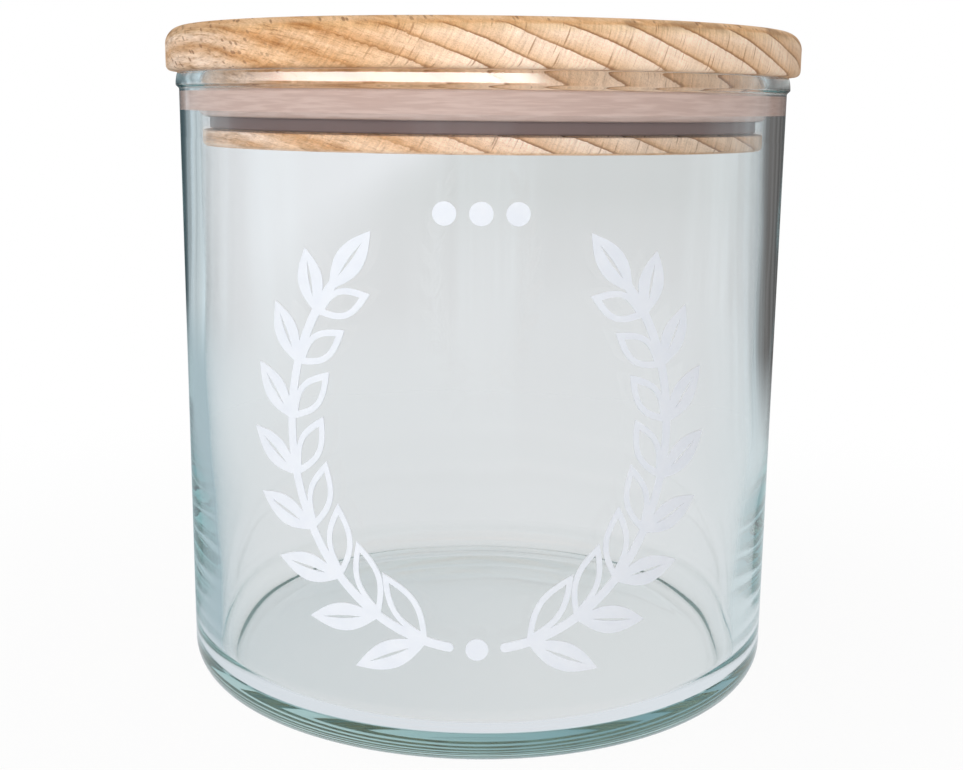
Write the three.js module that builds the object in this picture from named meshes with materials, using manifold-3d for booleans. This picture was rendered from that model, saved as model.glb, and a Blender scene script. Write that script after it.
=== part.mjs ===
// A round clear-glass canister with a turned beech lid, a silicone seal in the lid's groove
// and a white film decoration of two leafy branches on the front of the glass.
// Millimetres, +Z up. The origin is the centre of the face that the jar stands on.
// The decorated front looks along -Y.

import * as THREE from "three";
import { mergeVertices } from "three/addons/utils/BufferGeometryUtils.js";
import { TessellateModifier } from "three/addons/modifiers/TessellateModifier.js";
import Module from "manifold-3d";

// Glass jar
const glassDiameter = 115;
const glassHeight = 116;
const wallThickness = 3.5;
const floorThickness = 4.1;
const heelRadius = 6;
const filletWidth = 5.5;
const filletHeight = 6;
const wallSwell = 1;
const swellTop = 50;
const beadFootHeight = 0.8;
const beadBandHeight = 2.3;
const beadBulge = 0.6;
const beadLean = 0.2;
const rimRadius = 0.4;
const mouthRadius = 1;
const standWidth = 6;
const hollowDepth = 0.8;

// Beech lid: a flange that rests on the rim and a plug that hangs into the mouth
const flangeDiameter = 119.5;
const flangeThickness = 7.9;
const flangeTopRadius = 3.2;
const flangeLowerRadius = 1;
const plugClearance = 0.6;
const plugDepth = 13.2;
const plugChamfer = 0.5;
const grooveFromFlange = 2.7;
const grooveHeight = 7.7;
const grooveDepth = 2.8;
const lidSeatGap = 0.1;

// Silicone seal: a band in the groove, rounded below where it enters the mouth first
const sealGrooveGap = 0.3;
const sealWallGap = 0.25;
const sealTopRadius = 0.7;
const sealLipDrop = 2;
const sealLipInset = 2.3;

// White film: two branches that curve up from below, with leaves along them and loose berries
const filmThickness = 0.2;
const filmGap = 0.1;
const wreathCentreHeight = 58;
const wreathHalfWidth = 33;
const wreathHalfHeight = 36;
const branchEndAngle = 130;
const stemWidth = 1.6;
const leafPairs = 8;
const leafSpread = 40;
const leafLength = 14;
const tipLeafLength = 10.5;
const leafWidth = 4.9;
const leafEdgeWidth = 1;
const leafPointLength = 2;
const berryDiameter = 3.8;
const berryGap = 2;
const berriesInRow = 3;

// Fineness of round shapes
const turnSegments = 60;
const roundSteps = 5;
const smallRoundSteps = 3;
const domeSteps = 3;
const stemSteps = 20;
const leafSteps = 4;
const berrySides = 12;
const longestFilmEdge = 4.5;
const weldDistance = 1e-4;

const outerRadius = glassDiameter / 2;
const boreRadius = outerRadius - wallThickness;
const plugRadius = boreRadius - plugClearance;
const grooveRadius = plugRadius - grooveDepth;
const lidUnderside = glassHeight + lidSeatGap;
const grooveTop = lidUnderside - grooveFromFlange;
const grooveBottom = grooveTop - grooveHeight;

const wasm = await Module();
wasm.setup();

// Points along a quarter, or any part, of an ellipse in the profile's plane, angles in degrees
function arc(centreX, centreY, radiusX, radiusY, fromAngle, toAngle, steps) {
  return Array.from({ length: steps + 1 }, (_, i) => {
    const angle = THREE.MathUtils.degToRad(fromAngle + ((toAngle - fromAngle) * i) / steps);
    return new THREE.Vector2(centreX + radiusX * Math.cos(angle), centreY + radiusY * Math.sin(angle));
  });
}

const at = (radius, height) => new THREE.Vector2(radius, height);

// A profile of radius and height, turned about the upright axis
function turned(profile) {
  return new THREE.LatheGeometry(profile, turnSegments).rotateX(Math.PI / 2);
}

// The hollow under the base, a shallow dome inside the ring that the jar stands on
function hollowDome() {
  const standInner = outerRadius - heelRadius - standWidth;
  return Array.from({ length: domeSteps + 1 }, (_, i) => {
    const share = i / domeSteps;
    return at(standInner * share, hollowDepth * (1 - share * share));
  });
}

// The rim's bead: the wall flares out to a band that leans back a little to the rounded top
function beadFlare() {
  const bandBottom = glassHeight - beadBandHeight;
  const bottom = bandBottom - beadFootHeight;
  return Array.from({ length: roundSteps + 1 }, (_, i) => {
    const share = i / roundSteps;
    const swell = beadBulge * THREE.MathUtils.smoothstep(share, 0, 1);
    return at(outerRadius + swell, THREE.MathUtils.lerp(bottom, bandBottom, share));
  });
}

// Inside, the wall thickens slowly towards a rounded corner at the floor
function jarGeometry() {
  const rimCentre = outerRadius + beadBulge - beadLean - rimRadius;
  const mouthCentre = boreRadius + mouthRadius;
  const filletCentre = boreRadius - wallSwell - filletWidth;
  return turned([
    ...hollowDome(),
    ...arc(outerRadius - heelRadius, heelRadius, heelRadius, heelRadius, -90, 0, roundSteps),
    ...beadFlare(),
    ...arc(rimCentre, glassHeight - rimRadius, rimRadius, rimRadius, 0, 90, smallRoundSteps),
    ...arc(mouthCentre, glassHeight - mouthRadius, mouthRadius, mouthRadius, 90, 180, smallRoundSteps),
    at(boreRadius, swellTop),
    ...arc(filletCentre, floorThickness + filletHeight, filletWidth, filletHeight, 0, -90, roundSteps),
    at(0, floorThickness),
  ]);
}

function lidGeometry() {
  const flangeRadius = flangeDiameter / 2;
  const lidTop = lidUnderside + flangeThickness;
  const plugBottom = lidUnderside - plugDepth;
  const lowerCentre = flangeRadius - flangeLowerRadius;
  const lowerLevel = lidUnderside + flangeLowerRadius;
  const topCentre = flangeRadius - flangeTopRadius;
  const topLevel = lidTop - flangeTopRadius;
  return turned([
    at(0, plugBottom),
    at(plugRadius - plugChamfer, plugBottom),
    at(plugRadius, plugBottom + plugChamfer),
    at(plugRadius, grooveBottom),
    at(grooveRadius, grooveBottom),
    at(grooveRadius, grooveTop),
    at(plugRadius, grooveTop),
    at(plugRadius, lidUnderside),
    ...arc(lowerCentre, lowerLevel, flangeLowerRadius, flangeLowerRadius, -90, 0, smallRoundSteps),
    ...arc(topCentre, topLevel, flangeTopRadius, flangeTopRadius, 0, 90, roundSteps),
    at(0, lidTop),
  ]);
}

function sealGeometry() {
  const innerRadius = grooveRadius + sealGrooveGap;
  const contactRadius = boreRadius - sealWallGap;
  const top = grooveTop - sealGrooveGap;
  const bottom = grooveBottom + sealGrooveGap;
  const lipCentre = contactRadius - sealLipInset;
  const topCentre = contactRadius - sealTopRadius;
  return turned([
    at(innerRadius, bottom),
    ...arc(lipCentre, bottom + sealLipDrop, sealLipInset, sealLipDrop, -90, 0, roundSteps),
    ...arc(topCentre, top - sealTopRadius, sealTopRadius, sealTopRadius, 0, 90, smallRoundSteps),
    at(innerRadius, top),
    at(innerRadius, bottom),
  ]);
}

// A flat film outline, as thick as the film
function film(outline, holes = []) {
  const shape = new THREE.Shape(outline);
  shape.holes = holes.map((hole) => new THREE.Path(hole));
  return new THREE.ExtrudeGeometry(shape, { depth: filmThickness, bevelEnabled: false });
}

function solidOf(geometry) {
  const bare = new THREE.BufferGeometry();
  bare.setAttribute("position", geometry.getAttribute("position"));
  bare.setIndex(geometry.getIndex());
  const merged = mergeVertices(bare, weldDistance);
  return new wasm.Manifold(new wasm.Mesh({
    numProp: 3,
    vertProperties: merged.getAttribute("position").array,
    triVerts: new Uint32Array(merged.getIndex().array),
  }));
}

function geometryOf(solid) {
  const mesh = solid.getMesh();
  const geometry = new THREE.BufferGeometry();
  geometry.setAttribute("position", new THREE.BufferAttribute(mesh.vertProperties, 3));
  geometry.setIndex(new THREE.BufferAttribute(mesh.triVerts, 1));
  return geometry;
}

// The film laid round the glass: x becomes the way round from the front, y the height
function wrapped(geometry) {
  const fine = new TessellateModifier(longestFilmEdge).modify(geometry);
  const position = fine.getAttribute("position");
  const filmRadius = outerRadius + filmGap;
  for (let i = 0; i < position.count; i += 1) {
    const angle = position.getX(i) / filmRadius;
    const radius = filmRadius + position.getZ(i);
    position.setXYZ(i, radius * Math.sin(angle), -radius * Math.cos(angle), position.getY(i));
  }
  const closed = new THREE.BufferGeometry();
  closed.setAttribute("position", position);
  const merged = mergeVertices(closed, weldDistance);
  merged.computeVertexNormals();
  return merged;
}

// A place on the branch's line, and the way that the line runs there. The line is part of an ellipse,
// with its angle counted from the lowest point, and it starts just clear of the lower berry.
function branchPlace(share) {
  const startAngle = Math.asin((berryDiameter / 2 + berryGap) / wreathHalfWidth);
  const angle = THREE.MathUtils.lerp(startAngle, THREE.MathUtils.degToRad(branchEndAngle), share);
  const point = new THREE.Vector2(
    wreathHalfWidth * Math.sin(angle),
    wreathCentreHeight - wreathHalfHeight * Math.cos(angle),
  );
  const along = new THREE.Vector2(wreathHalfWidth * Math.cos(angle), wreathHalfHeight * Math.sin(angle));
  return { point, along: along.normalize() };
}

function stemOutline() {
  const rightSide = [];
  const leftSide = [];
  for (let i = 0; i <= stemSteps; i += 1) {
    const { point, along } = branchPlace(i / stemSteps);
    const across = new THREE.Vector2(along.y, -along.x).multiplyScalar(stemWidth / 2);
    rightSide.push(point.clone().add(across));
    leftSide.unshift(point.clone().sub(across));
  }
  return [...rightSide, ...leftSide];
}

// A leaf with a point at each end, from its base along a direction
function leafOutline(base, direction, length, width) {
  const sideways = new THREE.Vector2(-direction.y, direction.x);
  const spot = (share, side) => base.clone()
    .addScaledVector(direction, length * share)
    .addScaledVector(sideways, side * (width / 2) * Math.sin(Math.PI * share));
  const outline = [];
  for (let i = 0; i < leafSteps; i += 1) outline.push(spot(i / leafSteps, -1));
  for (let i = leafSteps; i > 0; i -= 1) outline.push(spot(i / leafSteps, 1));
  return outline;
}

function openLeafFilm(base, direction, length) {
  const holeBase = base.clone().addScaledVector(direction, leafPointLength);
  const holeLength = length - 2 * leafPointLength;
  const hole = leafOutline(holeBase, direction, holeLength, leafWidth - 2 * leafEdgeWidth);
  return film(leafOutline(base, direction, length, leafWidth), [hole]);
}

// Leaves stand in pairs: full on the outer side of the branch, cut open on the inner side
function leafFilms() {
  const films = [];
  for (let i = 0; i < leafPairs; i += 1) {
    const share = (i + 0.5) / leafPairs;
    const { point, along } = branchPlace(share);
    const length = THREE.MathUtils.lerp(leafLength, tipLeafLength, share);
    const spread = THREE.MathUtils.degToRad(leafSpread);
    const outward = along.clone().rotateAround(new THREE.Vector2(), -spread);
    const inward = along.clone().rotateAround(new THREE.Vector2(), spread);
    films.push(film(leafOutline(point, outward, length, leafWidth)));
    films.push(openLeafFilm(point, inward, length));
  }
  const { point, along } = branchPlace(1);
  const tipBase = point.clone().addScaledVector(along, -stemWidth);
  films.push(film(leafOutline(tipBase, along, leafLength, leafWidth)));
  return films;
}

function rightBranchFlat() {
  return leafFilms().reduce((joined, leaf) => joined.add(solidOf(leaf)), solidOf(film(stemOutline())));
}

// The left branch mirrors the right one, so its triangles are turned to keep facing out
function mirrored(geometry) {
  const copy = geometry.clone();
  const position = copy.getAttribute("position");
  for (let i = 0; i < position.count; i += 1) position.setX(i, -position.getX(i));
  const index = copy.getIndex();
  for (let i = 0; i < index.count; i += 3) {
    const first = index.getX(i);
    index.setX(i, index.getX(i + 1));
    index.setX(i + 1, first);
  }
  return copy;
}

function berryGeometry(x, y) {
  const rim = Array.from({ length: berrySides }, (_, i) => {
    const angle = (2 * Math.PI * i) / berrySides;
    return at(x + (berryDiameter / 2) * Math.cos(angle), y + (berryDiameter / 2) * Math.sin(angle));
  });
  return wrapped(film(rim));
}

const glass = { color: 0xc9dad9, roughness: 0.05, metalness: 0, transparent: true, opacity: 0.35 };
const beech = { color: 0xdfb68c, roughness: 0.55, metalness: 0 };
const silicone = { color: 0xcfc4bf, roughness: 0.4, metalness: 0 };
const whiteFilm = { color: 0xf2f5f7, roughness: 0.5, metalness: 0 };

const canister = new THREE.Group();

function addPiece(name, geometry, finish) {
  const piece = new THREE.Mesh(geometry, new THREE.MeshStandardMaterial(finish));
  piece.name = name;
  canister.add(piece);
}

addPiece("glass_jar", jarGeometry(), glass);
addPiece("wooden_lid", lidGeometry(), beech);
addPiece("seal_ring", sealGeometry(), silicone);

const branchFlat = geometryOf(rightBranchFlat());
addPiece("right_branch", wrapped(branchFlat), whiteFilm);
addPiece("left_branch", wrapped(mirrored(branchFlat)), whiteFilm);

// A row of berries in the gap above the branches and one berry between their lower ends
const upperBerryHeight = wreathCentreHeight + wreathHalfHeight;
const lowerBerryHeight = wreathCentreHeight - wreathHalfHeight;
for (let i = 0; i < berriesInRow; i += 1) {
  const x = (i - (berriesInRow - 1) / 2) * (berryDiameter + berryGap);
  addPiece(`upper_berry_${i + 1}`, berryGeometry(x, upperBerryHeight), whiteFilm);
}
addPiece("lower_berry", berryGeometry(0, lowerBerryHeight), whiteFilm);

export default canister;
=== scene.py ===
import math

import bpy
from mathutils import Matrix, Vector


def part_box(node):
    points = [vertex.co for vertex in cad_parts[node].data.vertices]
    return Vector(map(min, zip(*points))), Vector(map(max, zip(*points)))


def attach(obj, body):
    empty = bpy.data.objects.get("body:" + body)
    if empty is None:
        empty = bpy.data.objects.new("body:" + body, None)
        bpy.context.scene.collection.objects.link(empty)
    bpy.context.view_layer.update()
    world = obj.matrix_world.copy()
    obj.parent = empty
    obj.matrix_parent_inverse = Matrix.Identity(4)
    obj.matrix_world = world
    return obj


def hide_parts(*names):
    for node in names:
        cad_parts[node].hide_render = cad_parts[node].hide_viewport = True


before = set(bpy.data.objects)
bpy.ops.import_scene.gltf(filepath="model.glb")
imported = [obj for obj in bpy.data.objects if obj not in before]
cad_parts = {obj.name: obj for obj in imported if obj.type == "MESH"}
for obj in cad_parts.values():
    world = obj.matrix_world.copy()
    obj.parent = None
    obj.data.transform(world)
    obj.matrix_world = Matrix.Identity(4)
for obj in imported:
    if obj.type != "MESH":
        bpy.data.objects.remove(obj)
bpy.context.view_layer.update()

mm = 0.001
mergeWithin = 0.001 * mm
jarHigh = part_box("glass_jar")[1]
lidLow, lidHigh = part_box("wooden_lid")
sealLow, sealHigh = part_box("seal_ring")
print("frame loaded:", len(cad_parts), "nodes")


# Camera, fitted to the outlines of the glass and the lid

photoCamera = {
    "place": (0.3 * mm, -274.5 * mm, 111.1 * mm),
    "lookDown": 11.53,   # degrees
    "roll": 0.6,         # degrees, the right side of the picture hangs a little
    "lens": 51.9,        # mm, on a 36 mm sensor
}


def addCamera():
    bpy.ops.object.select_all(action="DESELECT")
    bpy.ops.object.camera_add(location=photoCamera["place"])
    camera = bpy.context.object
    camera.name = "photo_camera"
    tilt = Matrix.Rotation(math.radians(90 - photoCamera["lookDown"]), 3, "X")
    roll = Matrix.Rotation(math.radians(photoCamera["roll"]), 3, "Z")
    camera.rotation_euler = (tilt @ roll).to_euler()
    camera.data.lens = photoCamera["lens"]
    camera.data.clip_start = 10 * mm
    bpy.context.scene.camera = camera
    print("camera:", photoCamera["lens"], "mm lens,", photoCamera["lookDown"], "degrees down")


# Small tools for meshes

def arcPoints(centre, radii, fromAngle, toAngle, steps):
    points = []
    for i in range(steps + 1):
        angle = math.radians(fromAngle + (toAngle - fromAngle) * i / steps)
        points.append((centre[0] + radii[0] * math.cos(angle), centre[1] + radii[1] * math.sin(angle)))
    return points


def linePoints(start, end, steps):
    return [(start[0] + (end[0] - start[0]) * i / steps, start[1] + (end[1] - start[1]) * i / steps)
            for i in range(steps + 1)]


def easePoints(start, end, steps):
    # from start to end, with the radius easing in and out
    points = []
    for i in range(1, steps + 1):
        share = i / steps
        ease = share * share * (3 - 2 * share)
        points.append((start[0] + (end[0] - start[0]) * ease, start[1] + (end[1] - start[1]) * share))
    return points


def selectOnly(piece):
    bpy.ops.object.select_all(action="DESELECT")
    piece.select_set(True)
    bpy.context.view_layer.objects.active = piece


def addDisc(name, radius, vertices, place):
    bpy.ops.object.select_all(action="DESELECT")
    bpy.ops.mesh.primitive_circle_add(vertices=vertices, radius=radius, fill_type="NGON", location=(0, 0, 0))
    disc = bpy.context.object
    disc.name = name
    disc.data.name = name
    bpy.ops.object.mode_set(mode="EDIT")
    bpy.ops.mesh.select_all(action="SELECT")
    bpy.ops.transform.translate(value=place)
    bpy.ops.object.mode_set(mode="OBJECT")
    return disc


def startPiece(name):
    # an empty mesh in edit mode, ready for lines to be drawn in it
    bpy.ops.object.select_all(action="DESELECT")
    bpy.ops.mesh.primitive_plane_add(size=mm, location=(0, 0, 0))
    piece = bpy.context.object
    piece.name = name
    piece.data.name = name
    bpy.ops.object.mode_set(mode="EDIT")
    bpy.ops.mesh.select_all(action="SELECT")
    bpy.ops.mesh.delete(type="VERT")
    return piece


def drawLine(points):
    # a small plane is drawn together to one vertex, which is extruded from point to point
    bpy.ops.mesh.select_all(action="DESELECT")
    bpy.ops.mesh.primitive_plane_add(size=mm, location=(0, 0, 0))
    bpy.ops.mesh.merge(type="CENTER")
    bpy.ops.transform.translate(value=points[0])
    for here, there in zip(points, points[1:]):
        bpy.ops.mesh.extrude_region_move(TRANSFORM_OT_translate={"value": there - here})


def selectVertices(piece, wanted):
    # leaves the piece in edit mode with only those vertices selected
    bpy.ops.object.mode_set(mode="EDIT")
    bpy.ops.mesh.select_mode(type="VERT")
    bpy.ops.mesh.select_all(action="DESELECT")
    bpy.ops.object.mode_set(mode="OBJECT")
    for vertex in piece.data.vertices:
        vertex.select = wanted(vertex.co)
    bpy.ops.object.mode_set(mode="EDIT")


def roundCorner(piece, corner, size, segments):
    spot = Vector((corner[0], 0, corner[1]))
    selectVertices(piece, lambda place: (place - spot).length < 0.01 * mm)
    bpy.ops.mesh.bevel(offset=size, segments=segments, affect="VERTICES")


def closeMesh():
    # in edit mode: doubles are merged and faces turned outwards
    bpy.ops.mesh.select_all(action="SELECT")
    bpy.ops.mesh.remove_doubles(threshold=mergeWithin)
    bpy.ops.mesh.normals_make_consistent(inside=False)
    bpy.ops.object.mode_set(mode="OBJECT")


def turnProfile(name, profile, corners, steps):
    # profile: radius and height; corners: those to be rounded, with the size of the round
    piece = startPiece(name)
    drawLine([Vector((radius, 0, height)) for radius, height in profile])
    bpy.ops.mesh.select_all(action="SELECT")
    bpy.ops.mesh.remove_doubles(threshold=mergeWithin)
    for corner, size in corners:
        roundCorner(piece, corner, size, segments=4)
    bpy.ops.mesh.select_all(action="SELECT")
    bpy.ops.mesh.spin(steps=steps, angle=2 * math.pi, center=(0, 0, 0), axis=(0, 0, 1))
    closeMesh()
    return piece


def finishNormals(piece, angle):
    selectOnly(piece)
    bpy.ops.object.shade_smooth_by_angle(angle=math.radians(angle))
    weighted = piece.modifiers.new("even_faces", "WEIGHTED_NORMAL")
    weighted.keep_sharp = True
    weighted.weight = 80
    bpy.ops.object.modifier_apply(modifier=weighted.name)


# Small tools for node trees

def srgb(red, green, blue):
    # a colour as a picture program shows it, 0 to 255, made linear
    def linear(value):
        share = value / 255
        return share / 12.92 if share <= 0.04045 else ((share + 0.055) / 1.055) ** 2.4
    return (linear(red), linear(green), linear(blue), 1)


def newMaterial(name):
    material = bpy.data.materials.new(name)
    material.use_nodes = True
    material.node_tree.nodes.clear()
    return material, material.node_tree


def addNode(tree, kind, inputs=None, **settings):
    made = tree.nodes.new(kind)
    for name, value in settings.items():
        setattr(made, name, value)
    for name, value in (inputs or {}).items():
        if isinstance(value, bpy.types.NodeSocket):
            tree.links.new(value, made.inputs[name])
        else:
            made.inputs[name].default_value = value
    return made


def maths(tree, operation, first, second=0.0):
    return addNode(tree, "ShaderNodeMath", {0: first, 1: second}, operation=operation).outputs[0]


def product(tree, first, *others):
    for other in others:
        first = maths(tree, "MULTIPLY", first, other)
    return first


def vectorMaths(tree, operation, first, second=(0, 0, 0)):
    return addNode(tree, "ShaderNodeVectorMath", {0: first, 1: second}, operation=operation).outputs["Value"]


def smoothRange(tree, value, low, high, toLow=0.0, toHigh=1.0):
    inputs = {"Value": value, "From Min": low, "From Max": high, "To Min": toLow, "To Max": toHigh}
    return addNode(tree, "ShaderNodeMapRange", inputs, interpolation_type="SMOOTHSTEP").outputs["Result"]


def between(tree, value, rise, fall):
    # 0 before the rise and after the fall, 1 from the one to the other
    return product(tree, smoothRange(tree, value, *rise), smoothRange(tree, value, *fall, 1.0, 0.0))


def colourRamp(tree, factor, stops):
    ramp = addNode(tree, "ShaderNodeValToRGB", {"Fac": factor})
    elements = ramp.color_ramp.elements
    while len(elements) < len(stops):
        elements.new(0.5)
    for element, (place, colour) in zip(elements, stops):
        element.position = place
        element.color = colour
    return ramp.outputs["Color"]


def mixColours(tree, factor, first, second, blendType="MIX"):
    mix = addNode(tree, "ShaderNodeMix", data_type="RGBA", blend_type=blendType, clamp_factor=True)
    # of the sockets, number 0 is the factor, 6 and 7 are the two colours
    for socket, value in ((mix.inputs[0], factor), (mix.inputs[6], first), (mix.inputs[7], second)):
        if isinstance(value, bpy.types.NodeSocket):
            tree.links.new(value, socket)
        else:
            socket.default_value = value
    return mix.outputs[2]


def tinted(tree, colour, tint):
    return mixColours(tree, 1.0, colour, tint, "MULTIPLY")


def noise(tree, vector, scale=1.0, detail=2.0, roughness=0.5):
    inputs = {"Vector": vector, "Scale": scale, "Detail": detail, "Roughness": roughness}
    return addNode(tree, "ShaderNodeTexNoise", inputs).outputs["Fac"]


def grainSpace(tree, axes, sizes):
    # coordinates for a texture, each with the size of its grain along it
    parts = {name: maths(tree, "DIVIDE", axis, size) for name, axis, size in zip("XYZ", axes, sizes)}
    return addNode(tree, "ShaderNodeCombineXYZ", parts).outputs[0]


def cells(tree, vector, inner, outer):
    # lens-shaped spots, one to a cell, and a chance from 0 to 1 for each cell
    voronoi = addNode(tree, "ShaderNodeTexVoronoi", {"Vector": vector, "Scale": 1.0}, feature="F1")
    chance = addNode(tree, "ShaderNodeSeparateColor", {"Color": voronoi.outputs["Color"]}).outputs[0]
    return smoothRange(tree, voronoi.outputs["Distance"], inner, outer, 1.0, 0.0), chance


# Beech: growth rings round a pith that lies above and to the right of the board, with rays across them

beechLook = {
    "fibreTurn": 30,                              # degrees, the fibres come out to the right of the front
    "pithLean": 20,                               # degrees from upright, towards the right of the fibres
    "pithDistance": 400 * mm,
    "ringWidth": 3.5 * mm,
    "ringWander": 2.2 * mm,
    "ragged": (1.6 * mm, 0.3 * mm),               # how far a ring frays, lying along and cut square
    "bandWander": 5 * mm,
    "pale": srgb(243, 216, 192),
    "tan": srgb(236, 203, 172),
    "late": srgb(216, 174, 134),
    "softLine": srgb(212, 167, 123),
    "line": srgb(156, 110, 74),
    "ray": srgb(160, 114, 80),
    "fleck": srgb(150, 107, 77),
    "speck": srgb(124, 87, 52),
    "fibreGrain": (0.6 * mm, 0.6 * mm, 11 * mm),  # sizes round the pith, out from it and along the fibres
    "rayGrain": (0.65 * mm, 9 * mm, 4 * mm),
    "smallRayGrain": (0.42 * mm, 5 * mm, 3 * mm),
    "fineRayGrain": (0.4 * mm, 8 * mm, 3 * mm),
    "poreGrain": (0.16 * mm, 0.16 * mm, 5 * mm),
    "streakGrain": (9 * mm, 0.75 * mm, 11 * mm),
    "dashGrain": (2.6 * mm, 0.32 * mm, 3.2 * mm),
    "bandGrain": (30 * mm, 30 * mm, 170 * mm),    # flat faces: across, through and along the board
    "longGrain": (0.8 * mm, 3 * mm, 40 * mm),
    "flatPoreGrain": (0.7 * mm, 1.5 * mm, 5 * mm),
    "fleckGrain": (3.4 * mm, 0.95 * mm, 1 * mm),  # along a fleck, across it and into the wood
    "fleckLean": 26,                              # degrees from level, falling to the right
    "fleckBearing": -70,                          # degrees from the front, the side that shows them
    "sideToneAndShade": (1.03, 1.05, 1.07, 1),            # where the fibres lie along the face, with painted shade on the lid's sides
    "slantToneAndShade": (1.08, 0.98, 0.82, 1),           # where they are cut at a slant, with painted shade there
    "endToneAndSheen": (1.26, 1.36, 1.47, 1),             # where they are cut square, with a painted sheen there
    "flatToneAndLight": (1.17, 1.09, 0.99, 1),            # the top, and under the plug, both lighter: painted light on the top
    "topEdgeShade": (0.85, 0.8, 0.68, 1),                # painted shade: the rounded top edge, darker and yellower where it faces up
    "bare": (1.19, 1.2, 1.3, 1),                  # painted light: the plug, lightened where it lies in shade behind the glass
    # painted shade: the plug's right side, darker again
    "bareRight": (0.84, 0.8, 0.77, 1),
    "topBlend": 1.6 * mm,                         # over which the side turns to the flat faces
    "plugBlend": 0.4 * mm,
    "bareTop": (10 * mm, 12 * mm),                # up the plug, where the painted light starts to fade and where it is gone
    "bareSide": (0, 40 * mm),
    "fleckReach": (4 * mm, 2 * mm),               # in from the edge, where each starts and where it is full
    "topShadeReach": (6 * mm, 2.5 * mm),
    "topShadeDrop": (2.9 * mm, 1.5 * mm),              # and down from the top, in the same way
    "speckDrop": (2.2 * mm, 0.9 * mm),
    "ior": 1.45,
    "specular": 0.3,
}


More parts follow.
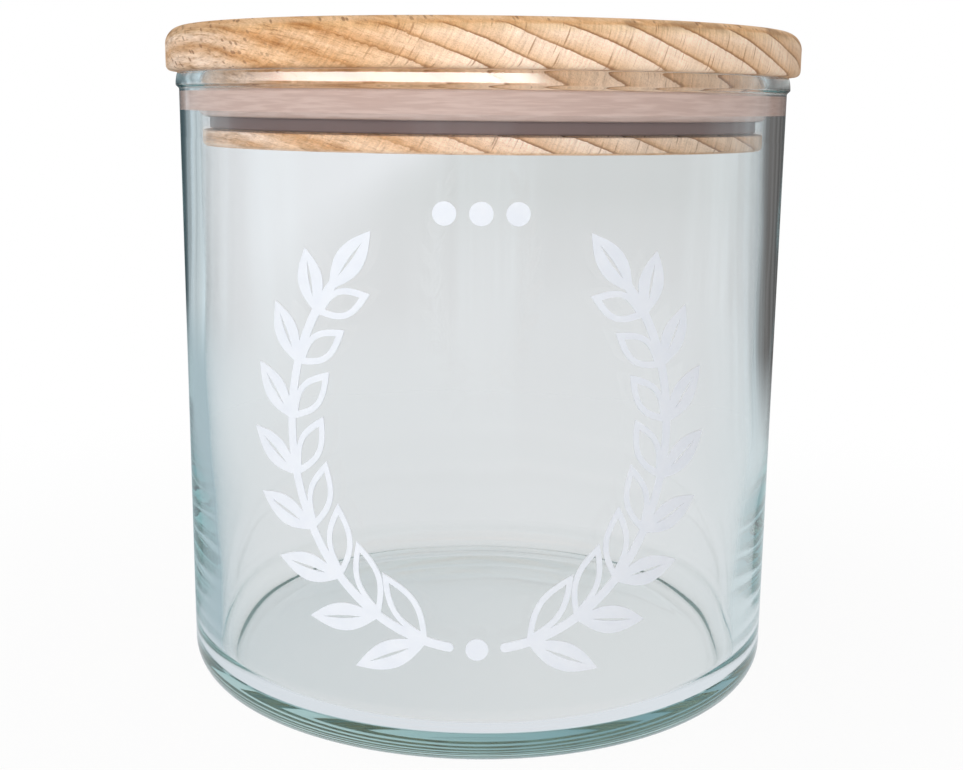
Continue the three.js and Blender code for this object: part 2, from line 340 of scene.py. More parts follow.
def beech():
    material, tree = newMaterial("beech")
    look = beechLook
    turn = math.radians(look["fibreTurn"])
    lean = math.radians(look["pithLean"])
    across = Vector((math.cos(turn), math.sin(turn), 0))
    lidMiddle = Vector((0, 0, (lidLow.z + lidHigh.z) / 2))
    pith = lidMiddle + look["pithDistance"] * (across * math.sin(lean) + Vector((0, 0, math.cos(lean))))
    place = addNode(tree, "ShaderNodeTexCoord").outputs["Object"]
    placeX, placeY, placeHeight = addNode(tree, "ShaderNodeSeparateXYZ", {"Vector": place}).outputs
    fromPith = {"Vector": place, "Location": pith, "Rotation": (0, 0, turn)}
    board = addNode(tree, "ShaderNodeMapping", fromPith, vector_type="TEXTURE").outputs["Vector"]
    sideways, along, upward = addNode(tree, "ShaderNodeSeparateXYZ", {"Vector": board}).outputs
    plainDistance = maths(tree, "SQRT", maths(tree, "ADD", product(tree, sideways, sideways),
                                              product(tree, upward, upward)))
    wander = product(tree, noise(tree, board, 35, detail=3), look["ringWander"])
    distance = maths(tree, "ADD", plainDistance, wander)
    angle = maths(tree, "ARCTAN2", sideways, product(tree, upward, -1.0))
    ringAxes = (product(tree, angle, look["pithDistance"]), distance, along)
    boardAxes = (sideways, upward, along)
    # end grain is 1 where the fibres are cut square, 0 on the top and under the plug, where they lie flat
    upright = between(tree, placeHeight, (lidLow.z, lidLow.z + look["plugBlend"]),
                      (lidHigh.z - look["topBlend"], lidHigh.z))
    flat = maths(tree, "SUBTRACT", 1.0, upright)
    endGrain = maths(tree, "DIVIDE", maths(tree, "ABSOLUTE", along), lidHigh.x)
    endGrain = product(tree, endGrain, upright)

    # growth rings: where cut square, pale after each line and darker towards the next; else soft and ragged
    fibres = noise(tree, grainSpace(tree, ringAxes, look["fibreGrain"]), detail=3)
    ragged = product(tree, maths(tree, "SUBTRACT", fibres, 0.5),
                     smoothRange(tree, endGrain, 0.45, 0.9, *look["ragged"]))
    rings = maths(tree, "DIVIDE", maths(tree, "ADD", distance, ragged), look["ringWidth"])
    ringShare = maths(tree, "FRACT", rings)
    softRings = colourRamp(tree, ringShare, [
        (0.0, look["late"]), (0.2, look["tan"]), (0.45, look["pale"]), (0.7, look["tan"]),
        (0.92, look["softLine"]), (1.0, look["late"])])
    crispRings = colourRamp(tree, ringShare, [
        (0.0, look["pale"]), (0.45, look["tan"]), (0.86, look["late"]), (0.95, look["line"]),
        (0.975, look["line"]), (1.0, look["pale"])])
    crispness = product(tree, smoothRange(tree, endGrain, 0.5, 0.85),
                        smoothRange(tree, noise(tree, board, 70), 0.3, 0.6, 0.6, 1.0))
    colour = mixColours(tree, crispness, softRings, crispRings)

    # rays: thin ribbons, long along the way out from the pith, short along the fibres
    rays = cells(tree, grainSpace(tree, ringAxes, look["rayGrain"]), 0.12, 0.27)[0]
    smallRays, smallChance = cells(tree, grainSpace(tree, ringAxes, look["smallRayGrain"]), 0.12, 0.26)
    rayShow = smoothRange(tree, endGrain, 0.5, 0.9, 0.25, 1.0)
    rays = product(tree, rays, rayShow, 0.7)
    smallRays = product(tree, smallRays, rayShow, smallChance, 0.5)
    colour = mixColours(tree, maths(tree, "MAXIMUM", rays, smallRays), colour, look["ray"])
    fineRays = noise(tree, grainSpace(tree, ringAxes, look["fineRayGrain"]), detail=1)
    fineShade = colourRamp(tree, fineRays, [(0.3, (0.88, 0.86, 0.84, 1)), (0.7, (1.06, 1.06, 1.06, 1))])
    colour = tinted(tree, colour, fineShade)

    # pores: short fine lines along the fibres
    pores = noise(tree, grainSpace(tree, ringAxes, look["poreGrain"]))
    poreShade = colourRamp(tree, pores, [(0.3, (0.84, 0.8, 0.76, 1)), (0.55, (1.03, 1.03, 1.03, 1))])
    colour = tinted(tree, colour, poreShade)

    # streaks and dashes, mostly where the fibres lie along the face
    streaks = noise(tree, grainSpace(tree, ringAxes, look["streakGrain"]), detail=4, roughness=0.6)
    streakShade = colourRamp(tree, streaks, [(0.34, (0.84, 0.76, 0.66, 1)), (0.52, (1.0, 1.0, 1.0, 1)),
                                             (0.7, (1.06, 1.07, 1.09, 1))])
    dashes = noise(tree, grainSpace(tree, ringAxes, look["dashGrain"]), detail=3, roughness=0.65)
    dashShade = colourRamp(tree, dashes, [(0.3, (0.66, 0.54, 0.43, 1)), (0.46, (1.0, 1.0, 1.0, 1)),
                                          (0.7, (1.05, 1.06, 1.08, 1))])
    streaked = tinted(tree, colour, tinted(tree, streakShade, dashShade))
    colour = mixColours(tree, smoothRange(tree, endGrain, 0.5, 0.9, 1.0, 0.25), colour, streaked)
    patches = noise(tree, board, 55, detail=3)
    patchShade = colourRamp(tree, patches, [(0.35, (0.95, 0.91, 0.86, 1)), (0.65, (1.04, 1.04, 1.05, 1))])
    colour = tinted(tree, colour, patchShade)

    # the flat faces: soft bands and long fibres
    bands = noise(tree, grainSpace(tree, boardAxes, look["bandGrain"]))
    bands = maths(tree, "ADD", plainDistance, product(tree, bands, look["bandWander"]))
    bandShare = maths(tree, "FRACT", maths(tree, "DIVIDE", bands, look["ringWidth"]))
    flatColour = colourRamp(tree, bandShare, [
        (0.0, look["tan"]), (0.35, look["pale"]), (0.7, look["tan"]), (0.93, look["late"]),
        (1.0, look["tan"])])
    longFibres = noise(tree, grainSpace(tree, boardAxes, look["longGrain"]), detail=3)
    longShade = colourRamp(tree, longFibres, [(0.3, (0.88, 0.84, 0.79, 1)), (0.7, (1.05, 1.05, 1.06, 1))])
    flatColour = tinted(tree, tinted(tree, flatColour, longShade), poreShade)
    colour = mixColours(tree, flat, colour, flatColour)

    # tones by the way the fibres are cut, partly painted light: painted shade on the sides and slants, a
    # painted sheen on the end grain and a lighter top; and the plug, lightened as painted light, with
    # painted shade to its right
    cutToneAndLight = colourRamp(tree, endGrain, [
        (0.2, look["sideToneAndShade"]), (0.4, look["slantToneAndShade"]), (0.68, look["slantToneAndShade"]),
        (0.9, look["endToneAndSheen"])])
    colour = tinted(tree, colour, mixColours(tree, flat, cutToneAndLight, look["flatToneAndLight"]))
    # painted light on the plug, with painted shade towards its right
    bareFrom, bareTo = look["bareTop"]
    bare = smoothRange(tree, placeHeight, lidLow.z + bareFrom, lidLow.z + bareTo, 1.0, 0.0)
    bareTone = mixColours(tree, smoothRange(tree, placeX, *look["bareSide"]), look["bare"],
                          look["bareRight"])
    colour = mixColours(tree, bare, colour, tinted(tree, colour, bareTone))

    # pores of the flat faces: short dark dashes along the fibres
    flatPores, poreChance = cells(tree, grainSpace(tree, boardAxes, look["flatPoreGrain"]), 0.1, 0.22)
    flatPores = product(tree, flatPores, smoothRange(tree, flat, 0.6, 1.0, 0.0, 0.5),
                        smoothRange(tree, poreChance, 0.2, 0.8))
    colour = mixColours(tree, flatPores, colour, look["ray"])

    # the rounded edge: rays cut along their length show as short leaning flecks; on top, painted shade
    # darkens the edge and dirt gathers there as specks
    flatPlace = addNode(tree, "ShaderNodeCombineXYZ", {"X": placeX, "Y": placeY}).outputs[0]
    reach = vectorMaths(tree, "LENGTH", flatPlace)

    def inFromEdge(start, full):
        return smoothRange(tree, reach, lidHigh.x - start, lidHigh.x - full)

    def downFromTop(start, full):
        return smoothRange(tree, placeHeight, lidHigh.z - start, lidHigh.z - full)

    bearing = math.radians(look["fleckBearing"])
    level = Vector((math.cos(bearing), math.sin(bearing), 0))
    outward = Vector((math.sin(bearing), -math.cos(bearing), 0))
    fleckLean = math.radians(look["fleckLean"])
    down = level * math.cos(fleckLean) - Vector((0, 0, math.sin(fleckLean)))
    fleckAxes = [vectorMaths(tree, "DOT_PRODUCT", place, axis)
                 for axis in (down, down.cross(outward), outward)]
    flecks, fleckChance = cells(tree, grainSpace(tree, fleckAxes, look["fleckGrain"]), 0.18, 0.33)
    flecks = product(tree, flecks, smoothRange(tree, endGrain, 0.25, 0.6, 1.0, 0.0),
                     inFromEdge(*look["fleckReach"]), smoothRange(tree, fleckChance, 0.1, 0.5, 0.0, 0.8))
    colour = mixColours(tree, flecks, colour, look["fleck"])
    # painted shade: the rounded top edge is darker and yellower where it faces up
    topEdge = product(tree, downFromTop(*look["topShadeDrop"]), inFromEdge(*look["topShadeReach"]))
    colour = mixColours(tree, topEdge, colour, tinted(tree, colour, look["topEdgeShade"]))
    specks = smoothRange(tree, noise(tree, board, 130, detail=5), 0.54, 0.64, 0.0, 0.5)
    specks = product(tree, specks, downFromTop(*look["speckDrop"]), topEdge)
    colour = mixColours(tree, specks, colour, look["speck"])

    relief = maths(tree, "SUBTRACT", product(tree, pores, 0.5), product(tree, rays, 0.6))
    relief = product(tree, relief, smoothRange(tree, flat, 0.0, 1.0, 1.0, 0.4))
    bump = addNode(tree, "ShaderNodeBump", {"Height": relief, "Strength": 0.25, "Distance": 0.08 * mm})
    roughness = smoothRange(tree, pores, 0.3, 0.7, 0.62, 0.46)
    shader = addNode(tree, "ShaderNodeBsdfPrincipled", {
        "Base Color": colour, "Roughness": roughness, "Normal": bump.outputs["Normal"]})
    shader.inputs["IOR"].default_value = look["ior"]
    shader.inputs["Specular IOR Level"].default_value = look["specular"]
    addNode(tree, "ShaderNodeOutputMaterial", {"Surface": shader.outputs[0]})
    return material


# Clear glass, tinted by the way that light goes through it

glassLook = {
    "ior": 1.5,
    "body": (0.96, 0.962, 0.965, 1),
    "tint": (0.14, 0.69, 0.7, 1),
    "tintDensity": 5.8,                 # per metre
    "shade": (0.98, 0.985, 0.985, 1),   # what a shadow loses
}


def clearGlass():
    material, tree = newMaterial("clear_glass")
    shader = addNode(tree, "ShaderNodeBsdfPrincipled")
    shader.inputs["Base Color"].default_value = glassLook["body"]
    shader.inputs["Roughness"].default_value = 0.0
    shader.inputs["IOR"].default_value = glassLook["ior"]
    shader.inputs["Transmission Weight"].default_value = 1.0
    see = addNode(tree, "ShaderNodeBsdfTransparent")
    see.inputs["Color"].default_value = glassLook["shade"]
    ray = addNode(tree, "ShaderNodeLightPath")
    soft = maths(tree, "MAXIMUM", ray.outputs["Is Shadow Ray"], ray.outputs["Is Diffuse Ray"])
    mix = addNode(tree, "ShaderNodeMixShader", {0: soft, 1: shader.outputs[0], 2: see.outputs[0]})
    absorb = addNode(tree, "ShaderNodeVolumeAbsorption")
    absorb.inputs["Color"].default_value = glassLook["tint"]
    absorb.inputs["Density"].default_value = glassLook["tintDensity"]
    addNode(tree, "ShaderNodeOutputMaterial", {"Surface": mix.outputs[0], "Volume": absorb.outputs[0]})
    return material


# Silicone: milky, with the wood's streaks showing faintly in it

siliconeLook = {
    "body": srgb(249, 218, 207),
    "streak": srgb(234, 200, 188),
    "shaded": srgb(143, 117, 114),               # painted shade below the lip, standing in for the shadow of the groove under it
    "shadeFade": 0.35 * mm,
    "streakGrain": (6 * mm, 6 * mm, 0.5 * mm),   # along each axis
    "roughness": 0.38,
    "ior": 1.41,
    "transmission": 0.2,
}


def silicone():
    material, tree = newMaterial("silicone")
    place = addNode(tree, "ShaderNodeTexCoord").outputs["Object"]
    axes = addNode(tree, "ShaderNodeSeparateXYZ", {"Vector": place}).outputs
    streaks = noise(tree, grainSpace(tree, axes, siliconeLook["streakGrain"]), detail=3)
    streaks = smoothRange(tree, streaks, 0.35, 0.65)
    colour = mixColours(tree, streaks, siliconeLook["streak"], siliconeLook["body"])
    footTop = sealLow.z + sealShape["footHeight"]
    # painted shade: darker below the lip
    underLip = smoothRange(tree, axes["Z"], footTop, footTop + siliconeLook["shadeFade"], 1.0, 0.0)
    colour = mixColours(tree, underLip, colour, siliconeLook["shaded"])
    shader = addNode(tree, "ShaderNodeBsdfPrincipled", {"Base Color": colour})
    shader.inputs["Roughness"].default_value = siliconeLook["roughness"]
    shader.inputs["IOR"].default_value = siliconeLook["ior"]
    shader.inputs["Transmission Weight"].default_value = siliconeLook["transmission"]
    addNode(tree, "ShaderNodeOutputMaterial", {"Surface": shader.outputs[0]})
    return material


# White film, a little cloudy

filmLook = {
    "white": srgb(244, 247, 252),
    "worn": srgb(232, 237, 246),
    "cloudScale": 300,
    "grainScale": 3000,
    "roughness": 0.5,
}


def whiteFilm():
    material, tree = newMaterial("white_film")
    place = addNode(tree, "ShaderNodeTexCoord").outputs["Object"]
    clouds = noise(tree, place, filmLook["cloudScale"], detail=4)
    colour = mixColours(tree, clouds, filmLook["worn"], filmLook["white"])
    grain = noise(tree, place, filmLook["grainScale"])
    bump = addNode(tree, "ShaderNodeBump", {"Height": grain, "Strength": 0.15, "Distance": 0.03 * mm})
    shader = addNode(tree, "ShaderNodeBsdfPrincipled", {
        "Base Color": colour, "Normal": bump.outputs["Normal"]})
    shader.inputs["Roughness"].default_value = filmLook["roughness"]
    addNode(tree, "ShaderNodeOutputMaterial", {"Surface": shader.outputs[0]})
    return material


# The glass jar

jarShape = {
    "wall": 3.5 * mm,
    "floor": 4.1 * mm,
    "heelRound": 6 * mm,
    "filletWidth": 5.5 * mm,
    "filletHeight": 6 * mm,
    "wallSwell": 1 * mm,        # the wall is thicker by this much just above the fillet
    "swellTop": 50 * mm,
    "beadBulge": 0.6 * mm,
    "beadFoot": 0.8 * mm,       # from the bead's lower end up to where it is widest
    "beadRise": 2.3 * mm,       # from there up to the top
    "faceRound": 7 * mm,        # the bead's outer face above that
    "rimRound": 0.35 * mm,
    "mouthRound": 1 * mm,
    "standWidth": 6 * mm,
    "standRound": 1.5 * mm,
    "hollowDepth": 0.8 * mm,
    "wobble": 0.14 * mm,        # how far the inside wanders
    "wobbleSize": 22 * mm,
    "wobbleEnd": 98 * mm,       # the mouth above this height is true
    "wobbleFade": 10 * mm,      # and the wander grows over this height below it
    "turnSteps": 192,
}


def jarProfile():
    shape = jarShape
    outer = jarHigh.x - shape["beadBulge"]
    bore = outer - shape["wall"]
    standInner = outer - shape["heelRound"] - shape["standWidth"]
    heel = (outer - shape["heelRound"], shape["heelRound"])
    fillet = (bore - shape["wallSwell"] - shape["filletWidth"], shape["floor"] + shape["filletHeight"])
    beadLevel = jarHigh.z - shape["beadRise"]
    beadFoot = beadLevel - shape["beadFoot"]
    face = (jarHigh.x - shape["faceRound"], beadLevel)
    # the bead's face runs on smoothly into the small round at the top
    faceEnd = math.asin((shape["beadRise"] - shape["rimRound"]) / (shape["faceRound"] - shape["rimRound"]))
    rim = (face[0] + (shape["faceRound"] - shape["rimRound"]) * math.cos(faceEnd),
           jarHigh.z - shape["rimRound"])
    faceEnd = math.degrees(faceEnd)
    mouth = (bore + shape["mouthRound"], jarHigh.z - shape["mouthRound"])
    # up the outside from the hollow under the base, over the rim and down the inside
    profile = []
    for i in range(13):
        share = i / 12
        profile.append((standInner * share, shape["hollowDepth"] * (1 - share * share)))
    profile += arcPoints(heel, (shape["heelRound"], shape["heelRound"]), -90, 0, 16)
    profile += linePoints((outer, heel[1]), (outer, beadFoot), 12)[1:]
    profile += easePoints((outer, beadFoot), (jarHigh.x, beadLevel), 12)
    profile += arcPoints(face, (shape["faceRound"], shape["faceRound"]), 0, faceEnd, 12)[1:]
    profile += arcPoints(rim, (shape["rimRound"], shape["rimRound"]), faceEnd, 90, 6)[1:]
    profile += arcPoints(mouth, (shape["mouthRound"], shape["mouthRound"]), 90, 180, 10)
    profile += linePoints((bore, mouth[1]), (bore, shape["swellTop"]), 16)[1:]
    profile += easePoints((bore, shape["swellTop"]), (bore - shape["wallSwell"], fillet[1]), 40)
    profile += arcPoints(fillet, (shape["filletWidth"], shape["filletHeight"]), 0, -90, 20)[1:]
    profile += linePoints((fillet[0], shape["floor"]), (0, shape["floor"]), 12)[1:]
    return profile, (standInner, 0), bore


def wobbleInside(jar, bore):
    # pressed glass: the inner wall and floor wander a little
    shape = jarShape
    inside = jar.vertex_groups.new(name="inside")
    for vertex in jar.data.vertices:
        x, y, z = vertex.co
        if math.hypot(x, y) < bore + 0.01 * mm and z > shape["floor"] - 0.01 * mm:
            weight = min(max((shape["wobbleEnd"] - z) / shape["wobbleFade"], 0), 1)
            inside.add([vertex.index], weight, "REPLACE")
    clouds = bpy.data.textures.new("glass_wobble", "CLOUDS")
    clouds.noise_scale = shape["wobbleSize"]
    clouds.noise_depth = 1
    displace = jar.modifiers.new("wobble", "DISPLACE")
    displace.texture = clouds
    displace.texture_coords = "LOCAL"
    displace.vertex_group = inside.name
    displace.strength = shape["wobble"]
    bpy.ops.object.modifier_apply(modifier=displace.name)
    jar.vertex_groups.clear()


def buildJar():
    profile, standEdge, bore = jarProfile()
    jar = turnProfile("jar_glass", profile, [(standEdge, jarShape["standRound"])], jarShape["turnSteps"])
    wobbleInside(jar, bore)
    finishNormals(jar, angle=50)
    jar.data.materials.append(clearGlass())
    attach(jar, "jar")
    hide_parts("glass_jar")
    print("jar:", len(jar.data.polygons), "faces")


# The beech lid

lidShape = {
    "plugRadius": 53.4 * mm,
    "plugDepth": 13.2 * mm,
    "plugChamfer": 0.5 * mm,
    "chamferRound": 0.2 * mm,
    "topRound": 3.2 * mm,
    "lowerRound": 1 * mm,
    "grooveFromFlange": 2.7 * mm,
    "grooveHeight": 7.7 * mm,
    "grooveDepth": 2.8 * mm,
    "edgeRound": 0.3 * mm,
    "turnSteps": 192,
}


def buildLid():
    shape = lidShape
    radius = lidHigh.x
    plug = shape["plugRadius"]
    underside = lidLow.z + shape["plugDepth"]
    grooveTop = underside - shape["grooveFromFlange"]
    grooveBottom = grooveTop - shape["grooveHeight"]
    groove = plug - shape["grooveDepth"]
    lower = (radius - shape["lowerRound"], underside + shape["lowerRound"])
    upper = (radius - shape["topRound"], lidHigh.z - shape["topRound"])
    plugEdge = (plug - shape["plugChamfer"], lidLow.z)
    chamferTop = (plug, lidLow.z + shape["plugChamfer"])
    land = (plug, grooveBottom)
    neck = (plug, grooveTop)
    profile = [(0, lidLow.z), plugEdge, chamferTop, land, (groove, grooveBottom), (groove, grooveTop), neck,
               (plug, underside)]
    profile += arcPoints(lower, (shape["lowerRound"], shape["lowerRound"]), -90, 0, 6)
    profile += arcPoints(upper, (shape["topRound"], shape["topRound"]), 0, 90, 14)
    profile += [(0, lidHigh.z)]
    corners = [(plugEdge, shape["chamferRound"]), (chamferTop, shape["chamferRound"]),
               (land, shape["edgeRound"]), (neck, shape["edgeRound"])]
    lid = turnProfile("lid_beech", profile, corners, shape["turnSteps"])
    finishNormals(lid, angle=40)
    lid.data.materials.append(beech())
    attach(lid, "lid")
    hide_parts("wooden_lid")
    print("lid:", len(lid.data.polygons), "faces")


# The silicone seal: a band that lies on the glass at its top and curves in below, on a narrower foot

sealShape = {
    "grooveGap": 0.3 * mm,    # between the band and the bottom of the lid's groove
    "press": 0.02 * mm,       # how far the band is pressed into the glass
    "topRound": 0.7 * mm,
    "lipInset": 1.7 * mm,     # how far the band curves in, and over what height
    "lipHeight": 1.3 * mm,
    "footHeight": 2 * mm,
    "footInset": 0.3 * mm,    # in from where the lip ends
    "footRound": 0.3 * mm,
    "turnSteps": 192,
}


def buildSeal():
    shape = sealShape
    inner = lidShape["plugRadius"] - lidShape["grooveDepth"] + shape["grooveGap"]
    contact = jarHigh.x - jarShape["beadBulge"] - jarShape["wall"] + shape["press"]
    bottom, top = sealLow.z, sealHigh.z
    footTop = bottom + shape["footHeight"]
    lip = (contact - shape["lipInset"], footTop + shape["lipHeight"])
    upper = (contact - shape["topRound"], top - shape["topRound"])
    foot = (contact - shape["lipInset"] - shape["footInset"], bottom)
    profile = [(inner, bottom), foot, (foot[0], footTop)]
    profile += arcPoints(lip, (shape["lipInset"], shape["lipHeight"]), -90, 0, 14)
    profile += arcPoints(upper, (shape["topRound"], shape["topRound"]), 0, 90, 8)[1:]
    profile += [(inner, top), (inner, bottom)]
    seal = turnProfile("seal_silicone", profile, [(foot, shape["footRound"])], shape["turnSteps"])
    finishNormals(seal, angle=40)
    seal.data.materials.append(silicone())
    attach(seal, "seal")
    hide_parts("seal_ring")
    print("seal:", len(seal.data.polygons), "faces")


# White film on the front: two leafy branches and loose berries. It is drawn flat, x the way round the glass
# from the front and y the height, and laid round the glass when it is whole.

filmShape = {
    "gap": 0.02 * mm,
    "thickness": 0.15 * mm,
    "centreHeight": 58 * mm,
    "halfWidth": 33 * mm,
    "halfHeight": 36 * mm,
    "endAngle": 130,          # degrees round the wreath from its lowest point
    "stemWidth": 1.6 * mm,
    "leafPairs": 8,
    "leafSpread": 40,         # degrees between a leaf and its stem
    "firstLeaf": 14 * mm,     # lengths of the lowest leaves, of the highest and of the one at the end
    "lastLeaf": 10.5 * mm,
    "endLeaf": 12.4 * mm,
    "leafWidth": 4.9 * mm,
    "leafEdge": 1 * mm,       # what is left round an open leaf, at its sides and at its points
    "leafPoint": 2 * mm,
    "veinWidth": 0.5 * mm,
    "veinFrom": 0.24,         # shares of the leaf's length
    "veinTo": 0.8,
    "leafSteps": 14,
    "berryDiameter": 3.8 * mm,
    "berrySteps": 48,
    "berryGap": 2 * mm,
    "sliceWidth": 1.2 * mm,   # the flat film is cut into slices this wide, so that it can bend
}


def branchPlace(share):
    shape = filmShape
    start = math.asin((shape["berryDiameter"] / 2 + shape["berryGap"]) / shape["halfWidth"])
    angle = start + (math.radians(shape["endAngle"]) - start) * share
    point = Vector((shape["halfWidth"] * math.sin(angle),
                    shape["centreHeight"] - shape["halfHeight"] * math.cos(angle), 0))
    along = Vector((shape["halfWidth"] * math.cos(angle), shape["halfHeight"] * math.sin(angle), 0))
    return point, along.normalized()


def branchLength():
    places = [branchPlace(i / 100)[0] for i in range(101)]
    return sum((there - here).length for here, there in zip(places, places[1:]))


def stemEdge(share, side):
    # side 1 is the outer edge of the right branch, -1 the inner one
    point, along = branchPlace(share)
    return point + Vector((along.y, -along.x, 0)) * side * filmShape["stemWidth"] / 2


def leafPlace(pair, side):
    shape = filmShape
    share = (pair + 0.5) / shape["leafPairs"]
    point, along = branchPlace(share)
    direction = Matrix.Rotation(-side * math.radians(shape["leafSpread"]), 3, "Z") @ along
    return share, point, direction, shape["firstLeaf"] + (shape["lastLeaf"] - shape["firstLeaf"]) * share


def leafSpot(base, direction, length, width, side, share):
    # a spot on one side of a leaf with a point at each end; side 1 is to the left of its direction
    sideways = Vector((-direction.y, direction.x, 0)) * side
    return base + direction * length * share + sideways * width / 2 * math.sin(math.pi * share)


def leafSide(base, direction, length, width, side, fromShare, toShare):
    steps = filmShape["leafSteps"]
    return [leafSpot(base, direction, length, width, side, fromShare + (toShare - fromShare) * i / steps)
            for i in range(steps + 1)]


def leafLoop(base, direction, length, width):
    return (leafSide(base, direction, length, width, -1, 0, 1)
            + leafSide(base, direction, length, width, 1, 1, 0)[1:])


def leafExit(base, direction, length, side, footShare):
    # where one side of a leaf comes out from under the stem, as shares of the leaf and of the branch
    shape = filmShape
    nearby = [(branchPlace(footShare + i / 800)[0], footShare + i / 800) for i in range(-20, 80)]
    low, high = 0.0, 0.5
    for i in range(16):
        share = (low + high) / 2
        spot = leafSpot(base, direction, length, shape["leafWidth"], side, share)
        away, branchShare = min(((place - spot).length, placeShare) for place, placeShare in nearby)
        if away < shape["stemWidth"] / 2:
            low = share
        else:
            high = share
    return share, branchShare


def branchSide(side, start, end):
    # up one edge of the stem, out round each leaf and back
    shape = filmShape
    points = []
    reached = start
    for pair in range(shape["leafPairs"]):
        footShare, base, direction, length = leafPlace(pair, side)
        outShare, leave = leafExit(base, direction, length, -side, footShare)
        backShare, rejoin = leafExit(base, direction, length, side, footShare)
        points += [stemEdge(reached + (leave - reached) * i / 6, side) for i in range(1, 6)]
        points += leafSide(base, direction, length, shape["leafWidth"], -side, outShare, 1)
        points += leafSide(base, direction, length, shape["leafWidth"], side, 1, backShare)[1:]
        reached = rejoin
    return points + [stemEdge(reached + (end - reached) * i / 4, side) for i in range(1, 4)]


def branchOutline():
    shape = filmShape
    length = branchLength()
    half = shape["stemWidth"] / 2
    # the end leaf starts where it is as wide as the stem
    endBase, endAlong = branchPlace(1)
    endShare = math.asin(shape["stemWidth"] / shape["leafWidth"]) / math.pi
    start = half / length
    end = 1 + shape["endLeaf"] * endShare / length
    points = branchSide(1, start, end)
    points += leafSide(endBase, endAlong, shape["endLeaf"], shape["leafWidth"], -1, endShare, 1)
    points += leafSide(endBase, endAlong, shape["endLeaf"], shape["leafWidth"], 1, 1, endShare)[1:]
    points += reversed(branchSide(-1, start, end))
    # the stem's round foot
    foot, along = branchPlace(start)
    across = Vector((along.y, -along.x, 0))
    for i in range(9):
        angle = math.pi * i / 8
        points.append(foot - (across * math.cos(angle) + along * math.sin(angle)) * half)
    return points + points[:1]


def branchHoles():
    # the openings of the inner leaves, and a vein in each of the others
    shape = filmShape
    holes = []
    full = [(*branchPlace(1), shape["endLeaf"])]
    for pair in range(shape["leafPairs"]):
        point, direction, length = leafPlace(pair, -1)[1:]
        holes.append(leafLoop(point + direction * shape["leafPoint"], direction,
                              length - 2 * shape["leafPoint"], shape["leafWidth"] - 2 * shape["leafEdge"]))
        full.append(leafPlace(pair, 1)[1:])
    for point, direction, length in full:
        holes.append(leafLoop(point + direction * length * shape["veinFrom"], direction,
                              length * (shape["veinTo"] - shape["veinFrom"]), shape["veinWidth"]))
    return holes


def flatBranch():
    branch = startPiece("right_branch_film")
    drawLine(branchOutline())
    for hole in branchHoles():
        drawLine(hole)
    bpy.ops.mesh.select_all(action="SELECT")
    bpy.ops.mesh.remove_doubles(threshold=0.005 * mm)
    bpy.ops.mesh.fill(use_beauty=True)
    bpy.ops.object.mode_set(mode="OBJECT")
    return branch


def layRoundGlass(piece):
    shape = filmShape
    selectOnly(piece)
    left = min(vertex.co.x for vertex in piece.data.vertices)
    right = max(vertex.co.x for vertex in piece.data.vertices)
    slices = math.ceil((right - left) / shape["sliceWidth"])
    bpy.ops.object.mode_set(mode="EDIT")
    for i in range(1, slices):
        bpy.ops.mesh.select_all(action="SELECT")
        cut = left + (right - left) * i / slices
        bpy.ops.mesh.bisect(plane_co=(cut, 0, 0), plane_no=(1, 0, 0))
    bpy.ops.mesh.select_all(action="SELECT")
    bpy.ops.mesh.extrude_region_move(TRANSFORM_OT_translate={"value": (0, 0, shape["thickness"])})
    bpy.ops.object.mode_set(mode="OBJECT")
    radius = jarHigh.x - jarShape["beadBulge"] + shape["gap"]
    for vertex in piece.data.vertices:
        x, y, z = vertex.co
        turn = x / radius
        vertex.co = ((radius + z) * math.sin(turn), -(radius + z) * math.cos(turn), y)
    bpy.ops.object.mode_set(mode="EDIT")
    closeMesh()
    finishNormals(piece, angle=40)


def dressFilm(piece, node, material):
    layRoundGlass(piece)
    piece.data.materials.append(material)
    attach(piece, "jar")
    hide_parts(node)
    print(piece.name + ":", len(piece.data.polygons), "faces")


def buildFilm():
    shape = filmShape
    material = whiteFilm()
    right = flatBranch()
    selectOnly(right)
    bpy.ops.object.duplicate()
    left = bpy.context.object
    left.name = "left_branch_film"
    left.data.name = left.name
    bpy.ops.object.mode_set(mode="EDIT")
    bpy.ops.mesh.select_all(action="SELECT")
    bpy.ops.transform.resize(value=(-1, 1, 1), center_override=(0, 0, 0))
    bpy.ops.object.mode_set(mode="OBJECT")
    dressFilm(right, "right_branch", material)
    dressFilm(left, "left_branch", material)

    step = shape["berryDiameter"] + shape["berryGap"]
    upper = shape["centreHeight"] + shape["halfHeight"]
    lower = shape["centreHeight"] - shape["halfHeight"]
    berries = {"upper_berry_1": (-step, upper), "upper_berry_2": (0, upper), "upper_berry_3": (step, upper),
               "lower_berry": (0, lower)}
    for node, (x, y) in berries.items():
        berry = addDisc(node + "_film", shape["berryDiameter"] / 2, shape["berrySteps"], (x, y, 0))
        dressFilm(berry, node, material)


# Studio: pale floor, white all round, darker where the glass mirrors

